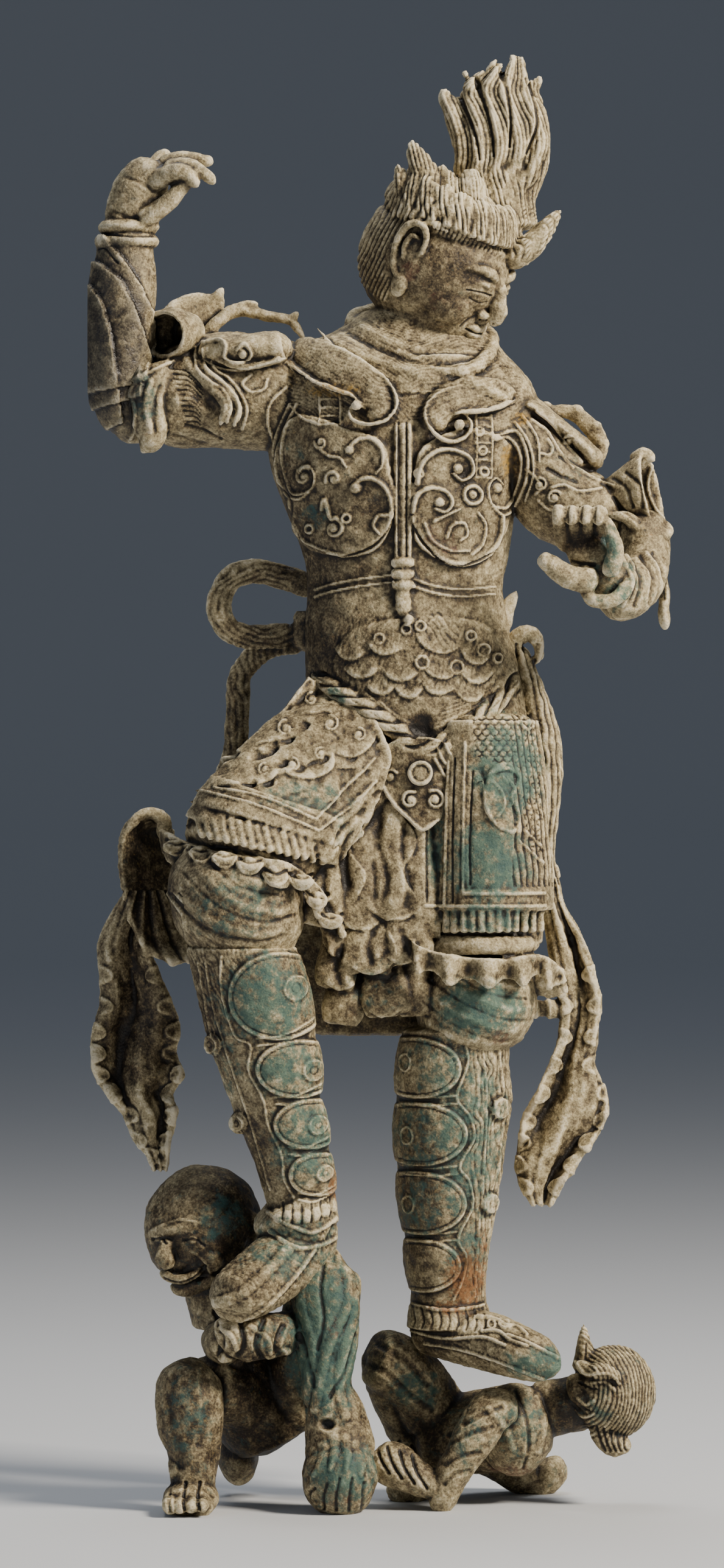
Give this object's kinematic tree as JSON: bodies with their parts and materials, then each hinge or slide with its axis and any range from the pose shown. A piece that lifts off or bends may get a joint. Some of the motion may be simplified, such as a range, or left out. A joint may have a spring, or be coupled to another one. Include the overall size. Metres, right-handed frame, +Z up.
{
  "type": "lokapala figure",
  "caption": "Cast bronze guardian king in armour with one arm raised and flaming hair, treading on a squatting demon and a lying demon.",
  "frame": {"origin": "on the floor under the middle of the work's bounding box", "axes": "+Z up, the figure's front faces -Y, the viewer's right is +X"},
  "size_m": [0.3734, 0.172, 0.926],
  "materials": {
    "king_bronze": "aged cast bronze with sandy encrustation and some verdigris",
    "demon_bronze": "aged cast bronze with darker, greener patina"
  },
  "bodies": {
    "root": {"lokapala": "king_bronze", "demon_under_right_foot": "demon_bronze", "demon_under_left_foot": "demon_bronze"}
  },
  "joints": []
}
